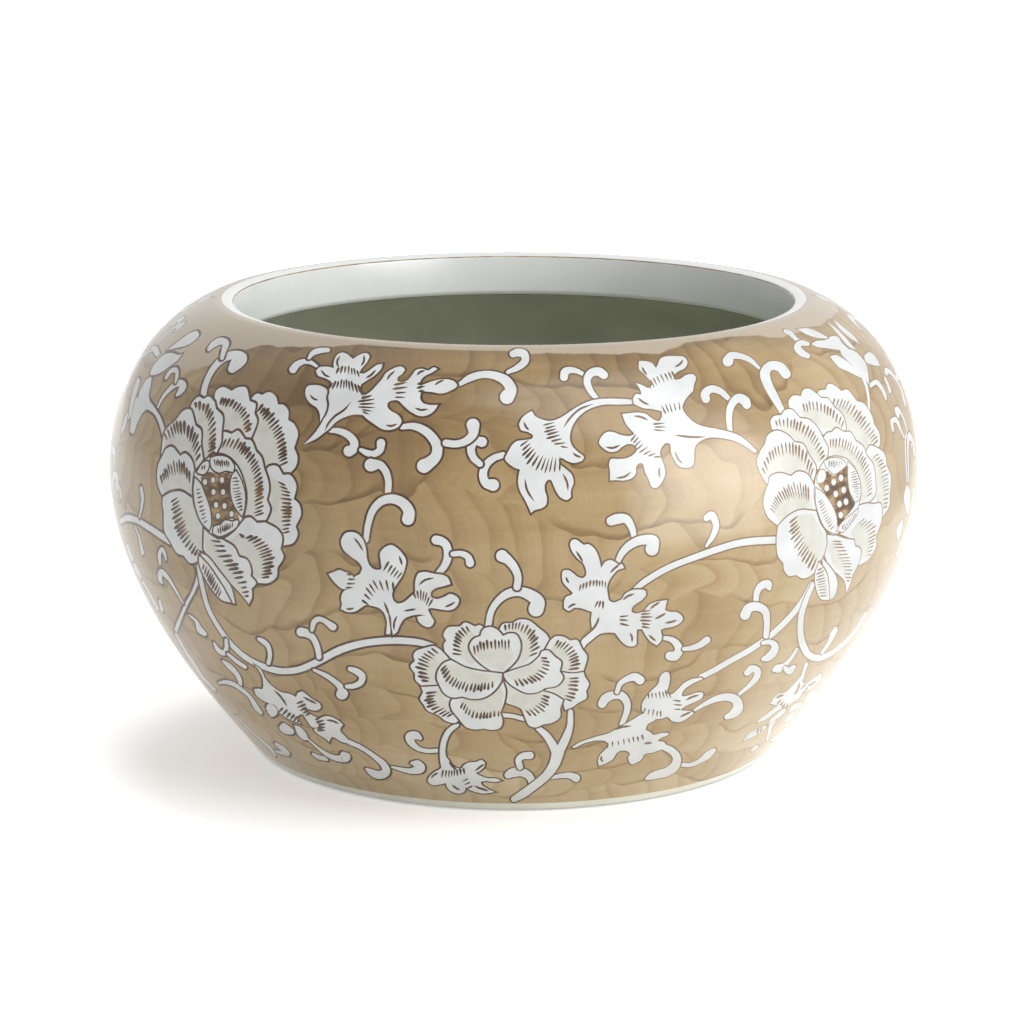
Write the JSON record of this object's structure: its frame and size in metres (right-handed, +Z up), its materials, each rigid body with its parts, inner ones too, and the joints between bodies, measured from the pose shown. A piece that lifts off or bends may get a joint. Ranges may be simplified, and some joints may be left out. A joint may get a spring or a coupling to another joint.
{
  "type": "planter",
  "caption": "Squat round-bellied porcelain planter with an in-turned lip and a foot ring on thin pads, drained through a hole in its floor that a lift-out rubber plug closes.",
  "frame": {"origin": "on the floor, under the middle of the bowl", "axes": "+Z up along the axis of turning; -Y towards the pictured side"},
  "size_m": [0.318, 0.318, 0.178],
  "materials": {
    "glazed_porcelain": "glossy clear glaze over a brown wash with white reserved flowers, white lip and inside",
    "plug_rubber": "matt moulded rubber",
    "pad_felt": "pressed felt"
  },
  "bodies": {
    "vessel": {"porcelain_body": "glazed_porcelain", "foot_pad_1": "pad_felt", "foot_pad_2": "pad_felt", "foot_pad_3": "pad_felt", "foot_pad_4": "pad_felt"},
    "plug": {"drain_plug": "plug_rubber"}
  },
  "joints": [
    {"name": "plug_lift", "type": "slide", "parent": "vessel", "child": "plug", "axis": [0, 0, 1], "range_m": [0, 0.19]}
  ]
}
